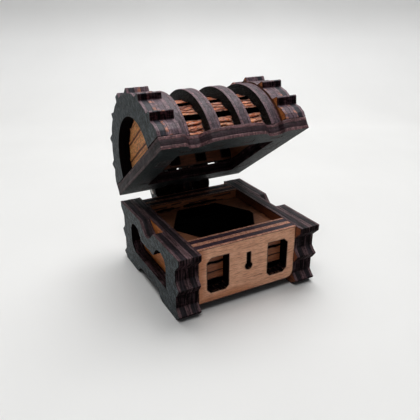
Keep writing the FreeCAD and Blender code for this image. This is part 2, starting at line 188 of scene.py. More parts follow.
def normals(P):
    """Inward normals of a loop whose material lies on its left."""
    d1 = P - np.roll(P, 1, 0)
    d2 = np.roll(P, -1, 0) - P
    d1 /= np.maximum(np.hypot(d1[:, 0], d1[:, 1]), 1e-9)[:, None]
    d2 /= np.maximum(np.hypot(d2[:, 0], d2[:, 1]), 1e-9)[:, None]
    n1 = np.stack([-d1[:, 1], d1[:, 0]], 1)
    n2 = np.stack([-d2[:, 1], d2[:, 0]], 1)
    m = n1 + n2
    L = np.hypot(m[:, 0], m[:, 1])
    m = np.where(L[:, None] > 1e-6, m / np.maximum(L, 1e-6)[:, None], n1)
    c = np.clip((m * n1).sum(1), 0.55, 1)
    return m / c[:, None]


def inside(pts, loops):
    """Even-odd test of points against all loops at once."""
    x, y = pts[:, 0], pts[:, 1]
    res = np.zeros(len(pts), bool)
    for P in loops:
        for i in range(len(P)):
            x1, y1 = P[i]
            x2, y2 = P[(i + 1) % len(P)]
            if y1 == y2:
                continue
            cond = (y1 > y) != (y2 > y)
            xi = (x2 - x1) * (y - y1) / (y2 - y1) + x1
            res ^= cond & (x < xi)
    return res


def rim_distance(pts, loops):
    """Distance from each point to the nearest outline segment."""
    best = np.full(len(pts), 1e9)
    for P in loops:
        A, B = P, np.roll(P, -1, 0)
        for a, b in zip(A, B):
            d = b - a
            L = d @ d
            if L < 1e-12:
                continue
            t = np.clip(((pts - a) @ d) / L, 0, 1)
            q = pts - (a + t[:, None] * d)
            best = np.minimum(best, q[:, 0] ** 2 + q[:, 1] ** 2)
    return np.sqrt(best)


# ------------------------------------------------------------------ a cut sheet as a detailed closed mesh
# rings up a cut edge: height from the back face, and how far the ring stands back from the cut
RINGS = [(0.0, 0.075), (0.035, 0.022), (0.1, 0.0), (0.45, 0.008), (0.73, 0.0), (0.80, 0.05), (0.87, 0.028), (1.5, 0.036),
         (2.13, 0.028), (2.20, 0.05), (2.27, 0.0), (2.55, 0.008), (2.9, 0.0), (2.965, 0.022), (3.0, 0.075)]


class Groove:
    """An engraved line on a face: a wandering line with a burnt V section."""

    def __init__(self, pts, depth=0.13, half=0.13, burn=1.0, fade=0.8):
        self.p = np.array(pts, float)
        self.depth, self.half, self.burn, self.fade = depth, half, burn, fade

    def distance(self, q):
        best = np.full(len(q), 1e9)
        for a, b in zip(self.p[:-1], self.p[1:]):
            d = b - a
            L = d @ d
            if L < 1e-12:
                continue
            t = np.clip(((q - a) @ d) / L, 0, 1)
            r = q - (a + t[:, None] * d)
            best = np.minimum(best, r[:, 0] ** 2 + r[:, 1] ** 2)
        return np.sqrt(best)

    def cut(self, q):
        d = self.distance(q)
        s = np.clip(1 - d / self.half, 0, 1)
        return self.depth * s * (2 - s), self.burn * np.clip(1 - d / (self.half * 1.9), 0, 1)

    def rows(self, step=0.3):
        out = []
        for a, b in zip(self.p[:-1], self.p[1:]):
            L = np.hypot(*(b - a))
            if L < 1e-6:
                continue
            n = np.array([-(b - a)[1], (b - a)[0]]) / L
            for k in range(max(1, int(L / step))):
                c = a + (b - a) * k / max(1, int(L / step))
                for o in (0.0, 0.5, 1.0, 1.9):
                    out.append(c + n * o * self.half)
                    if o:
                        out.append(c - n * o * self.half)
        return np.array(out).reshape(-1, 2)


def wander(u0, u1, v, seed, amp=0.25, step=0.5, slope=0.0):
    n = max(3, int(abs(u1 - u0) / step))
    u = np.linspace(u0, u1, n + 1)
    return np.stack([u, v + slope * (u - u0) + amp * wave(u * 0.22, seed)], 1)


def build_sheet(node, slot_name, mats, seed, grain="u", step=0.28, pitch=0.55, front=(), back=(), shift=None, relief=(0.012, 0.012),
                grain_angle=0.0, soot=(1.0, 0.15, 0.95, 0.75), hollow=None, flush=None):
    """soot: how dark the cut is where it looks down or level, where it looks up, and the same two inside holes;
    part of it is laser char, part is painted shade: cuts that look down or lie in holes are darker, cuts that look up
    lighter.
    hollow: (height of a centre, radius), inside which the cut is painted black as shade.  flush: a height at which tab
    ends take the fourth material."""
    L = LOCAL[node]
    body = frame["nodes"][node]["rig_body"]
    to_rest = (SWING if body == "lid" else Matrix.Identity(4)) @ L
    loops = outline_loops(node, to_rest.inverted())
    rnd = np.random.RandomState(1000 + seed)
    fine = []
    for P in loops:
        Q, corner = resample(P, step)
        e1, e2 = Q - np.roll(Q, 1, 0), np.roll(Q, -1, 0) - Q
        proud = e1[:, 0] * e2[:, 1] - e1[:, 1] * e2[:, 0] > 0
        pull = np.where(corner & proud, 0.30, 0.0)[:, None]
        mid = (np.roll(Q, 1, 0) + np.roll(Q, -1, 0)) / 2
        span = np.hypot(*(np.roll(Q, 1, 0) - np.roll(Q, -1, 0)).T)[:, None]
        Q = Q + (mid - Q) * pull * np.clip(span / (2 * step), 0, 1)
        s = np.cumsum(np.hypot(*(Q - np.roll(Q, 1, 0)).T))
        n = normals(Q)
        off = 0.011 + 0.011 * wave(s * 0.55, seed + 3.0)
        if shift is not None:
            off = off + shift(P, Q)
        fine.append(Q + n * off[:, None])
    norm = [normals(Q) for Q in fine]
    turn = np.array(to_rest)[:3, :3]
    # char and painted shade of the cuts: laser char, plus painted shade from the rest-pose facing, darker where a cut
    # looks down or level and in holes, lighter where it looks up
    sooty = []
    for P, n in zip(fine, norm):
        up = (-(n / np.maximum(np.hypot(n[:, 0], n[:, 1]), 1e-6)[:, None]) @ turn[:, :2].T)[:, 2]
        t = np.clip((up - 0.12) / 0.45, 0, 1)
        t = t * t * (3 - 2 * t)
        a, b = (soot[0], soot[1]) if area(P) > 0 else (soot[2], soot[3])
        value = a + (b - a) * t
        # painted shade: cuts inside this circle, the arch windows and the rib hollows under the lid, are painted black
        if hollow:
            value = np.where(np.hypot(P[:, 0], P[:, 1] - hollow[0]) < hollow[1], 1.15, value)
        sooty.append(value)
    verts, rim, burn, char = [], [], [], []
    ring_ids = []
    for w, inset in RINGS:
        ids = []
        for Q, n, so in zip(fine, norm, sooty):
            jit = rnd.uniform(0.0, 0.016, len(Q)) if 0.1 < w < 2.9 else np.zeros(len(Q))
            R = Q + n * (inset + jit)[:, None]
            ids.append(np.arange(len(verts), len(verts) + len(R)))
            verts.extend([(p[0], p[1], w) for p in R])
            rim.extend([0.0] * len(R))
            burn.extend([0.0] * len(R))
            # char holds the laser char and painted shade value of each ring point
            char.extend(so.tolist())
        ring_ids.append(ids)
    quads, quad_mat = [], []
    for k in range(len(RINGS) - 1):
        for Q, a, b in zip(fine, ring_ids[k], ring_ids[k + 1]):
            a2, b2 = np.roll(a, -1), np.roll(b, -1)
            quads.extend(np.stack([a, a2, b2, b], 1).tolist())
            end = np.zeros(len(a), bool)
            if flush is not None:
                at = np.abs(Q[:, 1] - flush) < 0.07
                end = at & np.roll(at, -1)
            quad_mat.extend(np.where(end, 3, 2).tolist())

    def cap(top):
        grooves = list(front if top else back)
        edge_ids = ring_ids[-1] if top else ring_ids[0]
        polys = [np.array([verts[i][:2] for i in ids]) for ids in edge_ids]
        allp = np.concatenate(polys)
        lo, hi = allp.min(0), allp.max(0)
        inner = []
        for P in polys:
            nn = normals(P)
            inner.append((P + nn * 0.2)[::1])
            inner.append((P + nn * 0.48)[::2])
        gx, gy = np.meshgrid(np.arange(lo[0], hi[0], pitch), np.arange(lo[1], hi[1], pitch))
        g = np.stack([gx.ravel(), gy.ravel()], 1)
        g = g + rnd.uniform(-0.3, 0.3, g.shape) * pitch
        near = inside(g, polys)
        g = g[near]
        g = g[rim_distance(g, polys) > 0.62] if len(g) else g
        for gr in grooves:
            g = g[gr.distance(g) > gr.half * 2.6] if len(g) else g
        rows = []
        for gr in grooves:
            r = gr.rows()
            r = r[inside(r, polys)]
            rows.append(r[rim_distance(r, polys) > 0.06])
        ring_pts = np.concatenate(inner)
        ok = inside(ring_pts, polys)
        ring_pts = ring_pts[ok]
        ring_pts = ring_pts[rim_distance(ring_pts, polys) > 0.13]
        for gr in grooves:
            ring_pts = ring_pts[gr.distance(ring_pts) > gr.half * 2.2] if len(ring_pts) else ring_pts
        extra = np.concatenate([x for x in [ring_pts, g] + rows if len(x)]) if len(g) or len(rows) or len(ring_pts) else np.zeros((0, 2))
        # drop points that fall on each other
        if len(extra):
            kk = np.round(extra / 0.07).astype(int)
            _, idx = np.unique(kk, axis=0, return_index=True)
            extra = extra[np.sort(idx)]
        pts = np.concatenate([allp, extra])
        cons, base = [], 0
        for P in polys:
            m = len(P)
            cons += [(base + i, base + (i + 1) % m) for i in range(m)]
            base += m
        out = delaunay_2d_cdt([Vector((float(p[0]), float(p[1]))) for p in pts], cons, [], 0, 1e-6)
        vc, _, faces, ov = out[0], out[1], out[2], out[3]
        F = np.array([f for f in faces if len(f) == 3])
        V = np.array([(v[0], v[1]) for v in vc])
        cen = V[F].mean(1)
        F = F[inside(cen, polys)]
        used = np.unique(F)
        index = {}
        n_edge = len(allp)
        flat_edge = np.concatenate([np.array(ids) for ids in edge_ids])
        fresh = []
        for i in used:
            src = [o for o in ov[i] if o < n_edge]
            if src:
                index[i] = int(flat_edge[src[0]])
            else:
                fresh.append(i)
        q = V[fresh] if fresh else np.zeros((0, 2))
        d = rim_distance(q, polys) if len(q) else np.zeros(0)
        sink, fire = np.zeros(len(q)), np.zeros(len(q))
        for gr in grooves:
            c, b = gr.cut(q)
            fadein = np.clip(d / 0.25, 0, 1)
            sink = np.maximum(sink, c * fadein)
            fire = np.maximum(fire, b)
        # low relief of the veneer: long grain swells, never proud of the sheet
        along, across = (q[:, 0], q[:, 1]) if grain == "u" else (q[:, 1], q[:, 0])
        amp = relief[0] if top else relief[1]
        swell = amp * (0.5 + 0.5 * wave(across * 0.9 + 0.25 * wave(along * 0.12, seed + 9.0), seed + 5.0)) * np.clip(d / 0.4, 0, 1)
        sink = sink + swell
        for j, i in enumerate(fresh):
            index[i] = len(verts)
            z = T - sink[j] if top else sink[j]
            verts.append((V[i][0], V[i][1], z))
            rim.append(float(d[j]))
            burn.append(float(fire[j]))
            char.append(0.0)
        tris = [[index[a] for a in f] for f in F]
        good = []
        for f in tris:
            if len(set(f)) < 3:
                continue
            a, b, c = (verts[i] for i in f)
            ar = (b[0] - a[0]) * (c[1] - a[1]) - (b[1] - a[1]) * (c[0] - a[0])
            if (ar > 0) != top:
                f = f[::-1]
            good.append(f)
        return good

    top_f = cap(True)
    bot_f = cap(False)
    faces = quads + top_f + bot_f
    me = bpy.data.meshes.new(node + "_cut")
    V = np.array(verts, float)
    m = np.array(to_rest)
    R = (V @ m[:3, :3].T + m[:3, 3]) * MM
    me.from_pydata(R.tolist(), [], faces)
    idx = np.array(quad_mat + [0] * len(top_f) + [1] * len(bot_f), np.int32)
    for mt in mats:
        me.materials.append(mt)
    me.polygons.foreach_set("material_index", idx)
    me.polygons.foreach_set("use_smooth", np.ones(len(faces), bool))
    me.update()
    me.set_sharp_from_angle(angle=math.radians(38))
    # coordinates for the wood: along the grain, across it, through the sheet, in millimetres
    ca, sa = math.cos(math.radians(grain_angle)), math.sin(math.radians(grain_angle))
    U, Vv = (V[:, 0], V[:, 1]) if grain == "u" else (V[:, 1], -V[:, 0])
    A = U * ca + Vv * sa
    B = -U * sa + Vv * ca
    locv = np.stack([A + 61.0 * seed, B + 17.0 * seed, V[:, 2]], 1).astype(np.float32)
    at = me.attributes.new("loc", "FLOAT_VECTOR", "POINT")
    at.data.foreach_set("vector", locv.ravel())
    at = me.attributes.new("rim", "FLOAT", "POINT")
    at.data.foreach_set("value", np.array(rim, np.float32))
    at = me.attributes.new("burn", "FLOAT", "POINT")
    at.data.foreach_set("value", np.array(burn, np.float32))
    # this attribute holds laser char and painted shade for the cut edges
    at = me.attributes.new("soot", "FLOAT", "POINT")
    at.data.foreach_set("value", np.array(char, np.float32))
    at = me.attributes.new("raw", "FLOAT_VECTOR", "POINT")
    at.data.foreach_set("vector", V.astype(np.float32).ravel())
    ob = bpy.data.objects.new(node + "_sheet", me)
    scene.collection.objects.link(ob)
    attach(ob, body)
    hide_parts(node)
    return ob


# ------------------------------------------------------------------ materials
class Net:
    """A small helper for node trees."""

    def __init__(self, name):
        self.mat = bpy.data.materials.new(name)
        self.mat.use_nodes = True
        self.t = self.mat.node_tree
        self.t.nodes.clear()
        self.out = self.t.nodes.new("ShaderNodeOutputMaterial")
        self.bsdf = self.t.nodes.new("ShaderNodeBsdfPrincipled")
        self.t.links.new(self.bsdf.outputs[0], self.out.inputs[0])

    def n(self, kind, **kw):
        nd = self.t.nodes.new(kind)
        for k, v in kw.items():
            setattr(nd, k, v)
        return nd

    def link(self, a, b):
        self.t.links.new(a, b)

    def attr(self, name, vector=False):
        a = self.n("ShaderNodeAttribute", attribute_name=name)
        a.attribute_type = "GEOMETRY"
        return a.outputs["Vector"] if vector else a.outputs["Fac"]

    def math(self, op, a, b=None, c=None, clamp=False):
        m = self.n("ShaderNodeMath", operation=op, use_clamp=clamp)
        for i, v in enumerate((a, b, c)):
            if v is None:
                continue
            if isinstance(v, (int, float)):
                m.inputs[i].default_value = v
            else:
                self.link(v, m.inputs[i])
        return m.outputs[0]

    def scale(self, vec, s):
        m = self.n("ShaderNodeVectorMath", operation="MULTIPLY")
        self.link(vec, m.inputs[0])
        m.inputs[1].default_value = s
        return m.outputs[0]

    def add(self, vec, other):
        m = self.n("ShaderNodeVectorMath", operation="ADD")
        self.link(vec, m.inputs[0])
        if isinstance(other, tuple):
            m.inputs[1].default_value = other
        else:
            self.link(other, m.inputs[1])
        return m.outputs[0]

    def noise(self, vec, scale, detail=2.0, rough=0.5, dist=0.0):
        m = self.n("ShaderNodeTexNoise")
        self.link(vec, m.inputs["Vector"])
        m.inputs["Scale"].default_value = scale
        m.inputs["Detail"].default_value = detail
        m.inputs["Roughness"].default_value = rough
        m.inputs["Distortion"].default_value = dist
        return m.outputs["Fac"]

    def ramp(self, fac, stops, interp="LINEAR"):
        m = self.n("ShaderNodeValToRGB")
        m.color_ramp.interpolation = interp
        els = m.color_ramp.elements
        while len(els) < len(stops):
            els.new(0.5)
        for e, (pos, col) in zip(els, stops):
            e.position = pos
            e.color = (*col, 1) if len(col) == 3 else col
        self.link(fac, m.inputs[0])
        return m.outputs[0]

    def smooth(self, v, a, b):
        m = self.n("ShaderNodeMapRange", interpolation_type="SMOOTHSTEP")
        self.link(v, m.inputs[0])
        m.inputs[1].default_value = a
        m.inputs[2].default_value = b
        return m.outputs[0]

    def mix(self, fac, a, b, blend="MIX"):
        m = self.n("ShaderNodeMix", data_type="RGBA", blend_type=blend)
        if isinstance(fac, (int, float)):
            m.inputs[0].default_value = fac
        else:
            self.link(fac, m.inputs[0])
        for i, v in ((6, a), (7, b)):
            if isinstance(v, tuple):
                m.inputs[i].default_value = (*v, 1) if len(v) == 3 else v
            else:
                self.link(v, m.inputs[i])
        return m.outputs[2]

    def bump(self, height, strength, distance):
        b = self.n("ShaderNodeBump")
        b.inputs["Strength"].default_value = strength
        b.inputs["Distance"].default_value = distance
        self.link(height, b.inputs["Height"])
        self.link(b.outputs[0], self.bsdf.inputs["Normal"])


def rgb(r, g, b):
    """sRGB 0-255 to linear."""
    def f(c):
        c = c / 255.0
        return c / 12.92 if c <= 0.04045 else ((c + 0.055) / 1.055) ** 2.4
    return (f(r), f(g), f(b))


def split(net, vec):
    s = net.n("ShaderNodeSeparateXYZ")
    net.link(vec, s.inputs[0])
    return s.outputs[0], s.outputs[1], s.outputs[2]


def grain_fields(n, loc, long_f=0.11, cross_f=1.2, fine_f=3.6, warp_amt=1.5, dist=0.4):
    """Long grain, fine grain and pores that follow it."""
    warp = n.noise(n.scale(loc, (0.05, 0.25, 0.2)), 1.0, 2.0, 0.5)
    wv = n.n("ShaderNodeCombineXYZ")
    n.link(n.math("MULTIPLY", warp, warp_amt), wv.inputs[1])
    bent = n.add(loc, wv.outputs[0])
    grain = n.noise(n.scale(bent, (long_f, cross_f, 0.5)), 1.0, 5.0, 0.62, dist)
    fine = n.noise(n.scale(bent, (fine_f * 0.13, fine_f, 1.0)), 1.0, 4.0, 0.62)
    pores = n.noise(n.scale(bent, (fine_f * 0.22, fine_f * 1.7, 2.0)), 1.0, 3.0, 0.6)
    return bent, grain, fine, pores


def natural_face(name, light, mid, dark, char=(28, 14, 9), halo=0.42, rough=0.50, spec=0.4, burn_col=None, fleck=0.45, streak=0.5,
                 low=None, tint=None, wide=None, tone_swing=0.0, relief=(0.6, 0.00010), shade_disc=None, glint=None,
                 shade_tint=None):
    n = Net(name)
    loc = n.attr("loc", True)
    rim, burn = n.attr("rim"), n.attr("burn")
    bent, grain, fine, pores = grain_fields(n, loc)
    tone = n.math("ADD", n.math("MULTIPLY", grain, streak), n.math("MULTIPLY", fine, 1.0 - streak))
    col = n.ramp(tone, [(0.33, rgb(*dark)), (0.46, rgb(*mid)), (0.60, rgb(*light)), (0.74, rgb(*[min(255, c * 1.10) for c in light]))])
    if tint:
        rosy = n.noise(n.scale(loc, (0.35, 0.9, 0.4)), 1.0, 3.0, 0.55)
        col = n.mix(n.math("MULTIPLY", n.smooth(rosy, 0.45, 0.62), 0.65), col, rgb(*tint))
    col = n.mix(n.math("MULTIPLY", n.smooth(pores, 0.57, 0.70), fleck), col, rgb(*dark))
    deep = n.noise(n.scale(bent, (0.9, 6.0, 2.0)), 1.0, 3.0, 0.6)
    col = n.mix(n.math("MULTIPLY", n.smooth(deep, 0.62, 0.72), fleck), col, rgb(*[int(c * 0.55) for c in dark]))
    patch = n.noise(n.scale(loc, (0.16, 0.22, 0.2)), 1.0, 2.0, 0.5)
    col = n.mix(n.math("MULTIPLY", n.smooth(patch, 0.35, 0.75), 0.30), col, rgb(*mid))
    ridges = n.noise(n.scale(bent, (0.7, 2.6, 1.0)), 1.0, 5.0, 0.74, 0.4)
    # painted shade and light on the relief: the colour follows the bump ridges, darker where they are low and lighter
    # where high
    if tone_swing:
        shade = n.ramp(ridges, [(0.38, (1 - tone_swing, 1 - tone_swing * 1.1, 1 - tone_swing * 1.2)), (0.50, (1.0, 1.0, 1.0)),
                                (0.62, (1 + tone_swing * 0.55, 1 + tone_swing * 0.5, 1 + tone_swing * 0.45))])
        col = n.mix(1.0, col, shade, "MULTIPLY")
    if glint:
        bits = n.noise(n.scale(bent, (0.8, 3.6, 1.0)), 1.0, 3.0, 0.6)
        col = n.mix(n.math("MULTIPLY", n.smooth(bits, 0.54, 0.61), 0.80), col, rgb(*glint))
    # painted shade: inside this radius, where ribs and staves cover the end panel's inner face, the face is painted
    # darker
    if shade_disc:
        u0, v0, _ = split(n, n.attr("raw", True))
        dv = n.math("SUBTRACT", v0, shade_disc[0])
        rr = n.math("SQRT", n.math("ADD", n.math("MULTIPLY", u0, u0), n.math("MULTIPLY", dv, dv)))
        col = n.mix(n.math("SUBTRACT", 1.0, n.smooth(rr, shade_disc[1] - 0.2, shade_disc[1] + 0.2)), col, n.mix(0.80, col, rgb(30, 16, 10)))
    # painted shade: a band beside the left frame and a band along the lower edge, towards the left, are tinted darker
    if shade_tint:
        u1, v1, _ = split(n, n.attr("raw", True))
        soft = n.math("MULTIPLY", n.math("SUBTRACT", n.noise(n.scale(loc, (0.3, 0.6, 0.4)), 1.0, 2.0, 0.5), 0.5), 3.0)
        left = n.math("SUBTRACT", 1.0, n.smooth(n.math("ADD", u1, soft), -13.6, -11.4))
        foot = n.math("SUBTRACT", 1.0, n.smooth(n.math("ADD", v1, n.math("MULTIPLY", soft, 0.4)), 3.4, 5.4))
        foot = n.math("MULTIPLY", foot, n.math("SUBTRACT", 1.0, n.smooth(n.math("ADD", u1, soft), -3.0, 7.0)))
        col = n.mix(n.math("MAXIMUM", left, foot), col, n.mix(1.0, col, shade_tint, "MULTIPLY"))
    # scorch beside the cuts, and in the engraved lines
    ragged = n.noise(n.scale(loc, (1.6, 1.6, 1.6)), 1.0, 3.0, 0.6)
    edge = n.math("ADD", rim, n.math("MULTIPLY", n.math("SUBTRACT", ragged, 0.5), 0.30))
    sc = n.math("SUBTRACT", 1.0, n.smooth(edge, 0.0, halo))
    col = n.mix(n.math("MULTIPLY", sc, 0.85), col, rgb(*char))
    warm = burn_col or char
    b1 = n.math("MULTIPLY", n.smooth(burn, 0.02, 0.45), 0.55)
    col = n.mix(b1, col, rgb(*[min(255, int(c * 1.9)) for c in warm]))
    b2 = n.math("MULTIPLY", n.smooth(burn, 0.30, 0.85), 0.95)
    col = n.mix(b2, col, rgb(*warm))
    # below this height, and within the given width if there is one, the face is painted near black; on the inner room
    # faces this is painted shade below the tray
    if low:
        u, v, _ = split(n, n.attr("raw", True))
        wob = n.noise(n.scale(loc, (0.5, 0.5, 0.5)), 1.0, 2.0, 0.5)
        sel = n.math("SUBTRACT", 1.0, n.smooth(n.math("ADD", v, n.math("MULTIPLY", wob, 0.4)), low - 0.3, low + 0.3))
        if wide:
            sel = n.math("MULTIPLY", sel, n.math("SUBTRACT", 1.0, n.smooth(n.math("ABSOLUTE", u), wide - 0.1, wide + 0.1)))
        black = n.mix(n.smooth(fine, 0.40, 0.65), rgb(9, 7, 6), rgb(20, 15, 13))
        col = n.mix(sel, col, black)
    n.link(col, n.bsdf.inputs["Base Color"])
    n.bsdf.inputs["Specular IOR Level"].default_value = spec
    n.link(n.math("ADD", n.math("MULTIPLY", fine, 0.25), rough - 0.12), n.bsdf.inputs["Roughness"])
    h = n.math("SUBTRACT", n.math("ADD", n.math("MULTIPLY", ridges, 0.7), n.math("MULTIPLY", fine, 0.3)), n.math("MULTIPLY", n.smooth(pores, 0.55, 0.72), 0.4))
    n.bump(h, *relief)
    return n.mat


def stained_face(name, base=(47, 52, 55), pale=(92, 98, 102), deep=(17, 19, 22), rough=0.55, spec=0.16, rubbed=0.55):
    n = Net(name)
    loc = n.attr("loc", True)
    rim = n.attr("rim")
    bent, grain, fine, pores = grain_fields(n, loc, 0.16, 1.5, 3.4)
    fibre = n.noise(n.scale(bent, (0.55, 2.1, 1.2)), 1.0, 5.0, 0.78, 0.6)
    tone = n.math("ADD", n.math("MULTIPLY", grain, 0.12), n.math("ADD", n.math("MULTIPLY", fine, 0.18), n.math("MULTIPLY", fibre, 0.70)))
    col = n.ramp(tone, [(0.42, rgb(*deep)), (0.475, rgb(*[int(c * 0.66) for c in base])), (0.52, rgb(*base)), (0.59, rgb(*pale))])
    # pores where the stain pooled, flecks where it did not take
    col = n.mix(n.math("MULTIPLY", n.smooth(pores, 0.54, 0.66), 0.75), col, rgb(*deep))
    fl = n.noise(n.scale(bent, (0.8, 2.6, 2.0)), 1.0, 3.0, 0.65)
    col = n.mix(n.math("MULTIPLY", n.smooth(fl, 0.57, 0.70), 0.60), col, rgb(*[min(255, int(c * 1.35)) for c in pale]))
    patch = n.noise(n.scale(loc, (0.22, 0.28, 0.2)), 1.0, 2.0, 0.5)
    col = n.mix(n.math("MULTIPLY", n.smooth(patch, 0.40, 0.80), 0.35), col, rgb(*[int(c * 0.6) for c in base]))
    # the rim rubbed by handling shows a little brown wood
    ragged = n.noise(n.scale(loc, (2.2, 2.2, 2.2)), 1.0, 3.0, 0.65)
    wear = n.math("MULTIPLY", n.math("SUBTRACT", 1.0, n.smooth(rim, 0.0, 0.20)), n.smooth(ragged, 0.50, 0.66))
    col = n.mix(n.math("MULTIPLY", wear, rubbed), col, rgb(118, 88, 82))
    n.link(col, n.bsdf.inputs["Base Color"])
    n.bsdf.inputs["Specular IOR Level"].default_value = spec
    n.link(n.math("ADD", n.math("MULTIPLY", fibre, 0.30), rough - 0.15), n.bsdf.inputs["Roughness"])
    h = n.math("SUBTRACT", n.math("ADD", n.math("MULTIPLY", fibre, 0.7), n.math("MULTIPLY", grain, 0.3)), n.math("MULTIPLY", n.smooth(pores, 0.54, 0.70), 0.6))
    n.bump(h, 1.0, 0.00022)
    return n.mat


def cut_edge(name, veneer, veneer2, core, core2, dark=(9, 6, 7), dark2=(40, 25, 29), fleck=(176, 132, 130), rough=0.52, bare=None, bare_side=0,
             fuzz=0.30, spec=0.4, ply=(0.82, 2.18), streak=1.0, lines=0.0, tone_swing=0.0):
    """Laser-cut ply: two pale veneers round a dark core, fine marks across the thickness, darkened by the cut attribute
    that holds laser char and painted shade.
    """
    n = Net(name)
    loc = n.attr("loc", True)
    soot = n.attr("soot")
    _, _, w = split(n, n.attr("raw", True))
    wob = n.noise(n.scale(loc, (0.7, 0.7, 0.2)), 1.0, 2.0, 0.5)
    ww = n.math("ADD", w, n.math("MULTIPLY", n.math("SUBTRACT", wob, 0.5), fuzz))
    inner = n.math("MULTIPLY", n.smooth(ww, ply[0] - 0.09, ply[0] + 0.09), n.math("SUBTRACT", 1.0, n.smooth(ww, ply[1] - 0.09, ply[1] + 0.09)))
    # marks across the thickness (they vary fast along the cut, slowly through it)
    mark = n.noise(n.scale(loc, (2.6, 2.6, 0.5)), 1.0, 4.0, 0.62)
    mark2 = n.noise(n.scale(loc, (0.9, 0.9, 0.35)), 1.0, 3.0, 0.6)
    speck = n.noise(n.scale(loc, (2.6, 2.6, 2.4)), 1.0, 3.0, 0.6)
    vmix = n.math("ADD", n.math("MULTIPLY", mark, streak), n.math("MULTIPLY", speck, 1.0 - streak)) if streak < 1 else mark
    # thin strands that follow the sheet
    strand = n.noise(n.scale(loc, (0.16, 0.16, 2.7)), 1.0, 3.0, 0.6, 0.5) if lines else None
    if lines:
        vmix = n.math("ADD", n.math("MULTIPLY", vmix, 1.0 - lines), n.math("MULTIPLY", strand, lines))
    vcol = n.mix(n.smooth(vmix, 0.36, 0.62), rgb(*veneer2), rgb(*veneer))
    if bare:
        side = n.smooth(ww, 1.4, 1.6) if bare_side else n.math("SUBTRACT", 1.0, n.smooth(ww, 1.4, 1.6))
        spots = n.smooth(mark2, 0.53, 0.61)
        vcol = n.mix(n.math("MULTIPLY", n.math("MULTIPLY", side, spots), 0.75), vcol, rgb(*bare))
    vcol = n.mix(n.math("MULTIPLY", n.smooth(speck, 0.56, 0.68), 0.65), vcol, rgb(*fleck))
    ccol = n.mix(n.smooth(vmix, 0.36, 0.66), rgb(*core2), rgb(*core))
    col = n.mix(inner, vcol, ccol)
    if tone_swing:
        grit = n.noise(n.scale(loc, (1.0, 1.0, 1.7)), 1.0, 5.0, 0.78)
        shade = n.ramp(grit, [(0.40, (1 - tone_swing, 1 - tone_swing * 1.1, 1 - tone_swing * 1.1)), (0.50, (1.0, 1.0, 1.0)),
                              (0.60, (1 + tone_swing * 0.7, 1 + tone_swing * 0.5, 1 + tone_swing * 0.55))])
        col = n.mix(1.0, col, shade, "MULTIPLY")
    # fibres of the veneers run along the sheet
    fib = n.noise(n.scale(loc, (0.6, 0.6, 5.0)), 1.0, 4.0, 0.62)
    col = n.mix(n.math("MULTIPLY", n.smooth(fib, 0.45, 0.62), 0.45), col, rgb(*[int(c * 0.45 + 8) for c in veneer2]))
    # glue lines
    g1 = n.math("SUBTRACT", 1.0, n.smooth(n.math("ABSOLUTE", n.math("SUBTRACT", ww, ply[0])), 0.02, 0.10))
    g2 = n.math("SUBTRACT", 1.0, n.smooth(n.math("ABSOLUTE", n.math("SUBTRACT", ww, ply[1])), 0.02, 0.10))
    col = n.mix(n.math("MULTIPLY", n.math("MAXIMUM", g1, g2), 0.6), col, rgb(*dark))
    # laser char and painted shade from the cut attribute, thinner on the streaks; values above 1.03 are painted fully
    # black as shade
    burnt = n.noise(n.scale(loc, (0.45, 0.45, 0.5)), 1.0, 3.0, 0.6)
    vary = n.math("ADD", n.math("MULTIPLY", n.math("SUBTRACT", burnt, 0.5), 0.9), n.math("MULTIPLY", n.math("SUBTRACT", vmix, 0.5), -1.0))
    amount = n.math("ADD", n.math("MULTIPLY", soot, 1.03), n.math("MULTIPLY", vary, 0.75), clamp=True)
    amount = n.math("MAXIMUM", amount, n.smooth(soot, 1.03, 1.12))
    pattern = n.math("ADD", n.math("MULTIPLY", mark, 0.6), n.math("MULTIPLY", mark2, 0.4))
    if lines:
        pattern = n.math("ADD", n.math("MULTIPLY", pattern, 1.0 - lines), n.math("MULTIPLY", strand, lines))
    char = n.mix(n.smooth(pattern, 0.46, 0.64 - 0.06 * lines), rgb(*dark), rgb(*dark2))
    char = n.mix(n.smooth(soot, 1.03, 1.12), char, rgb(*dark))
    col = n.mix(amount, col, char)
    n.link(col, n.bsdf.inputs["Base Color"])
    n.link(n.math("MULTIPLY", n.math("SUBTRACT", 1.0, n.math("MULTIPLY", amount, 0.97)), spec, clamp=True), n.bsdf.inputs["Specular IOR Level"])
    n.link(n.math("ADD", n.math("MULTIPLY", mark, 0.25), rough - 0.12), n.bsdf.inputs["Roughness"])
    h = n.math("ADD", n.math("MULTIPLY", mark, 0.6), n.math("MULTIPLY", fib, 0.4))
    n.bump(h, 0.8, 0.00014)
    return n.mat


FACE_STAIN = stained_face("stained_face", base=(58, 66, 69), pale=(107, 118, 122), deep=(14, 17, 20))
# painted shade: the rib faces take a much darker copy of the same stain, for the shade they lie in
FACE_RIB_SHADED = stained_face("stained_rib_face_painted_shade", base=(18, 21, 20), pale=(56, 60, 57), deep=(5, 6, 6), spec=0.10, rubbed=0.3)
# painted shade: a darker copy of the stain for faces that look down, under the lid and at the tab ends
FACE_UNDER_SHADED = stained_face("stained_under_face_painted_shade", base=(33, 39, 40), pale=(56, 64, 65), deep=(13, 16, 17), spec=0.14, rubbed=0.3)
